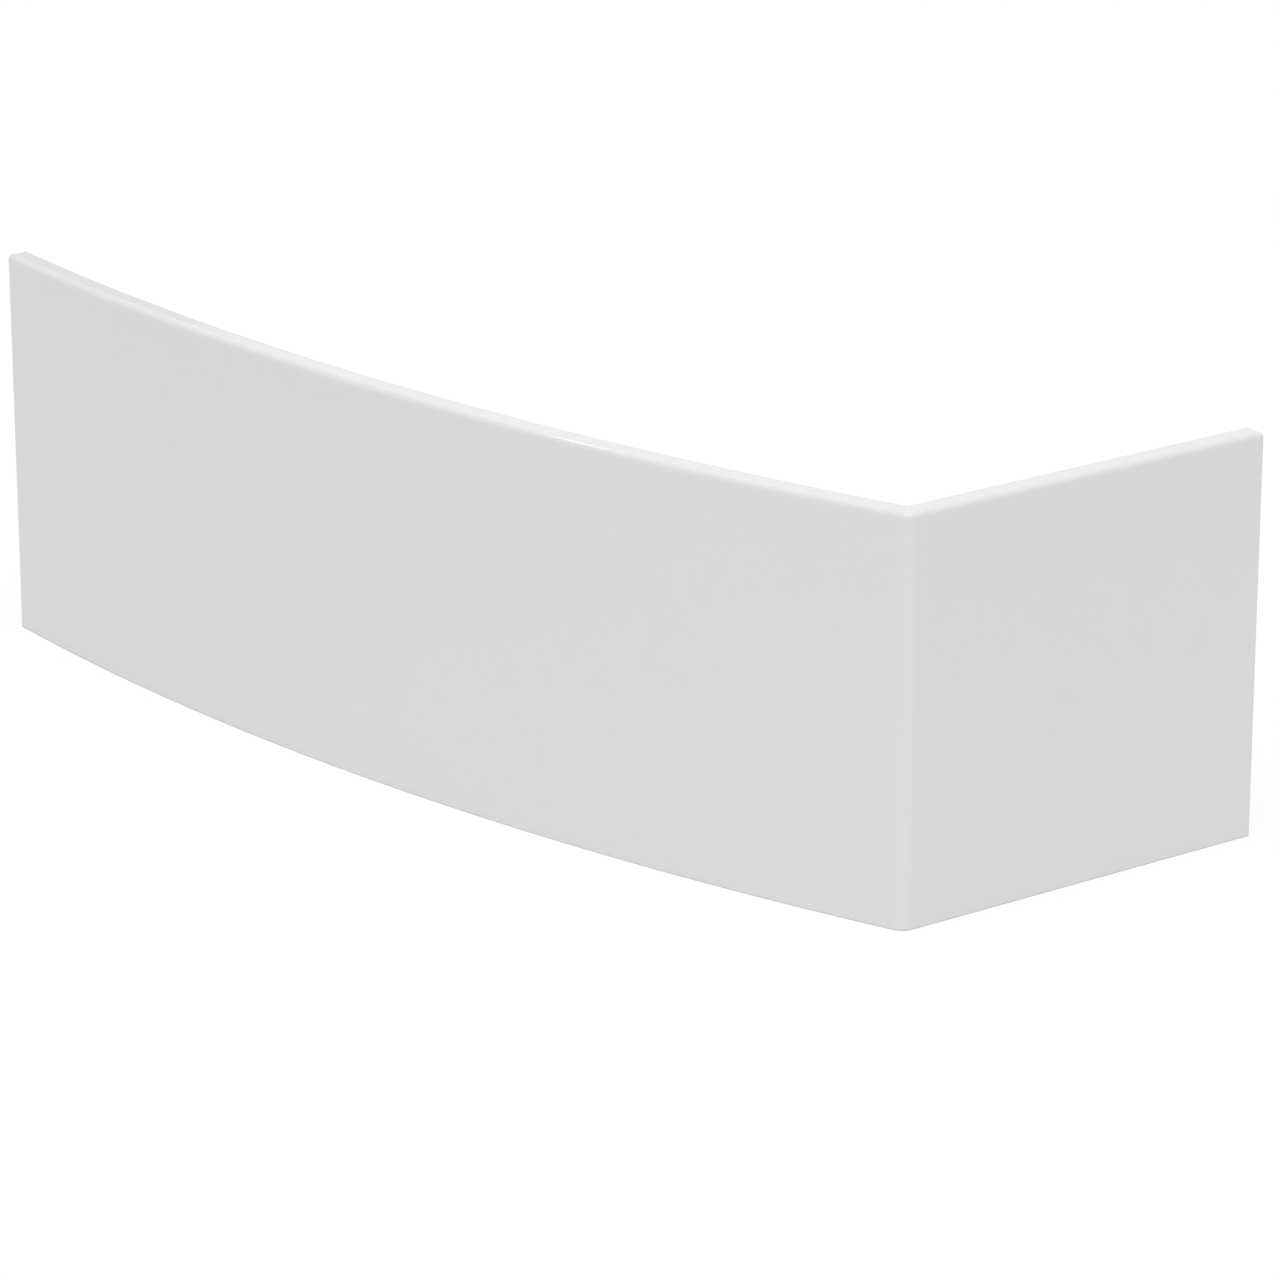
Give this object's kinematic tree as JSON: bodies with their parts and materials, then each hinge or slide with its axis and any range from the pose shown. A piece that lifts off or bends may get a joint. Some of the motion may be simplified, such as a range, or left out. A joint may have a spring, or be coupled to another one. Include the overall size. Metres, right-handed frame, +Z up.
{
  "type": "bath panel",
  "caption": "Moulded bath panel in one skin: a long gently curved front, a rounded corner and a short straight end, with a lip turned back along the top and an open back.",
  "frame": {"origin": "middle of the footprint's bounding box, on the floor under the bottom edge", "axes": "+X along the front from the wide end towards the end panel, +Y from the front towards the wall behind the bath, +Z up"},
  "size_m": [1.596, 0.9, 0.545],
  "materials": {
    "white_acrylic": "gloss white, smooth moulded"
  },
  "bodies": {
    "root": {"bath_panel": "white_acrylic"}
  },
  "joints": []
}
